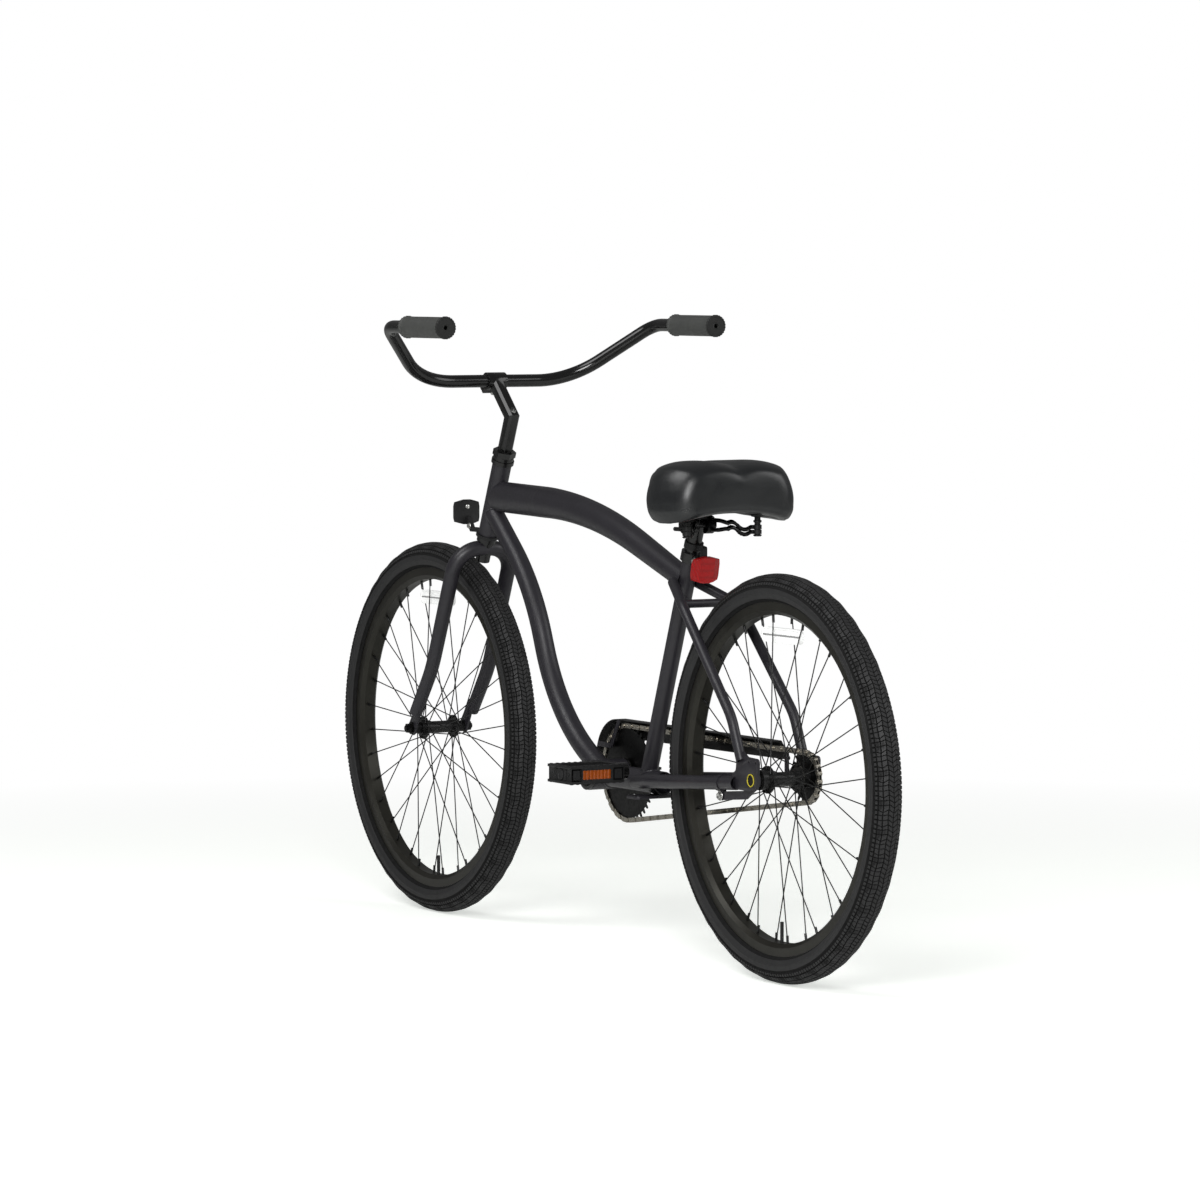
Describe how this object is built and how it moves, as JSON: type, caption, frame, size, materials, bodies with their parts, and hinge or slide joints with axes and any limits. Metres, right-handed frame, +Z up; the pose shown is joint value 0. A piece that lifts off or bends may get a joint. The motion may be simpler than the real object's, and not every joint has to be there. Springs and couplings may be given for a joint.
{
  "type": "beach cruiser bicycle",
  "caption": "Single-speed beach cruiser with curved frame tubes, balloon tyres, swept-back handlebar, coaster brake, chain guard and wide padded saddle.",
  "frame": {"origin": "on the ground, midway between the two wheel axles, in the bicycle's middle plane", "axes": "+X ahead towards the front wheel, +Y to the rider's left, +Z up"},
  "size_m": [1.8336, 0.5708, 1.0745],
  "materials": {
    "frame_paint": "matte",
    "gloss_black": "gloss",
    "tyre_rubber": "matte",
    "tube_rubber": "matte",
    "rim_metal": "satin",
    "spoke_steel": "satin",
    "hub_metal": "gloss",
    "zinc_steel": "satin",
    "black_steel": "satin",
    "chain_steel": "satin",
    "pedal_plastic": "matte",
    "guard_plastic": "satin",
    "grip_rubber": "matte",
    "saddle_vinyl": "satin",
    "saddle_shell": "matte",
    "red_lens": "gloss",
    "amber_lens": "gloss",
    "clear_lens": "gloss"
  },
  "bodies": {
    "frame": {"head_tube": "frame_paint", "top_tube": "frame_paint", "down_tube": "frame_paint", "seat_tube": "frame_paint", "bottom_tube": "frame_paint", "bb_shell": "frame_paint", "chainstays": "frame_paint", "seat_stays": "frame_paint", "rear_dropouts": "frame_paint", "kickstand_plate": "frame_paint", "headset_cups": "black_steel", "bottom_bracket_cups": "black_steel", "chain_guard": "guard_plastic", "chain_guard_brackets": "black_steel", "seat_clamp": "black_steel", "chain": "chain_steel", "rear_axle_set": "zinc_steel", "brake_arm": "black_steel", "brake_shoes": "black_steel", "front_reflector": "clear_lens", "front_reflector_bracket": "pedal_plastic"},
    "rear_wheel": {"rear_tyre": "tyre_rubber", "rear_inner_tube": "tube_rubber", "rear_rim": "rim_metal", "rear_spokes": "spoke_steel", "rear_hub_shell": "hub_metal", "rear_spoke_reflector": "clear_lens"},
    "driver": {"rear_driver": "black_steel", "rear_sprocket": "black_steel"},
    "crank": {"crank": "black_steel", "chainring": "black_steel", "crank_bearings": "zinc_steel", "pedal_spindles": "zinc_steel"},
    "left_pedal": {"left_pedal": "pedal_plastic", "left_pedal_reflectors": "amber_lens"},
    "right_pedal": {"right_pedal": "pedal_plastic", "right_pedal_reflectors": "amber_lens"},
    "fork": {"fork_steerer": "frame_paint", "fork_blades": "frame_paint", "fork_ends": "frame_paint", "headset_races": "black_steel", "front_axle_set": "zinc_steel"},
    "front_wheel": {"front_tyre": "tyre_rubber", "front_inner_tube": "tube_rubber", "front_rim": "rim_metal", "front_spokes": "spoke_steel", "front_hub_shell": "hub_metal", "front_spoke_reflector": "clear_lens"},
    "stem": {"stem": "gloss_black", "stem_bolts": "zinc_steel"},
    "handlebar": {"handlebar": "gloss_black", "grips": "grip_rubber"},
    "seat_post": {"seat_post": "gloss_black", "rear_reflector": "red_lens", "rear_reflector_bracket": "pedal_plastic"},
    "saddle_clamp": {"saddle_clamp": "black_steel"},
    "saddle": {"saddle_pad": "saddle_vinyl", "saddle_base": "saddle_shell", "saddle_rails": "black_steel", "saddle_bumpers": "black_steel"}
  },
  "joints": [
    {"name": "steering", "type": "hinge", "parent": "frame", "child": "fork", "pos_m": [0.3992, 0, 0.6876], "axis": [-0.3853, 0, 0.9228], "continuous": true},
    {"name": "front_wheel_spin", "type": "hinge", "parent": "fork", "child": "front_wheel", "pos_m": [0.5843, 0, 0.3325], "axis": [0, 1, 0], "continuous": true},
    {"name": "rear_wheel_spin", "type": "hinge", "parent": "frame", "child": "rear_wheel", "pos_m": [-0.5843, 0, 0.3325], "axis": [0, 1, 0], "continuous": true},
    {"name": "crank_spin", "type": "hinge", "parent": "frame", "child": "crank", "pos_m": [-0.01547, 0, 0.295], "axis": [0, 1, 0], "continuous": true, "deforming": ["chain"]},
    {"name": "driver_spin", "type": "hinge", "parent": "frame", "child": "driver", "pos_m": [-0.5843, 0, 0.3325], "axis": [0, 1, 0], "continuous": true},
    {"name": "left_pedal_spin", "type": "hinge", "parent": "crank", "child": "left_pedal", "pos_m": [-0.18405, 0.07, 0.31689], "axis": [0, 1, 0], "continuous": true},
    {"name": "right_pedal_spin", "type": "hinge", "parent": "crank", "child": "right_pedal", "pos_m": [0.15312, -0.07, 0.2731], "axis": [0, 1, 0], "continuous": true},
    {"name": "stem_height", "type": "slide", "parent": "fork", "child": "stem", "axis": [-0.3853, 0, 0.9228], "range_m": [0, 0.05]},
    {"name": "handlebar_tilt", "type": "hinge", "parent": "stem", "child": "handlebar", "pos_m": [0.37269, 0, 0.9572], "axis": [0, 1, 0], "range_deg": [-25, 25]},
    {"name": "seat_height", "type": "slide", "parent": "frame", "child": "seat_post", "axis": [-0.3486, 0, 0.9373], "range_m": [-0.004, 0.1]},
    {"name": "saddle_tilt", "type": "hinge", "parent": "seat_post", "child": "saddle_clamp", "pos_m": [-0.31825, 0, 0.73271], "axis": [0, 1, 0], "range_deg": [-12, 12]},
    {"name": "saddle_setback", "type": "slide", "parent": "saddle_clamp", "child": "saddle", "axis": [1, 0, 0], "range_m": [-0.01, 0.01]}
  ],
  "couplings": [
    {"joint": "driver_spin", "follows": "crank_spin", "ratio": 2}
  ]
}
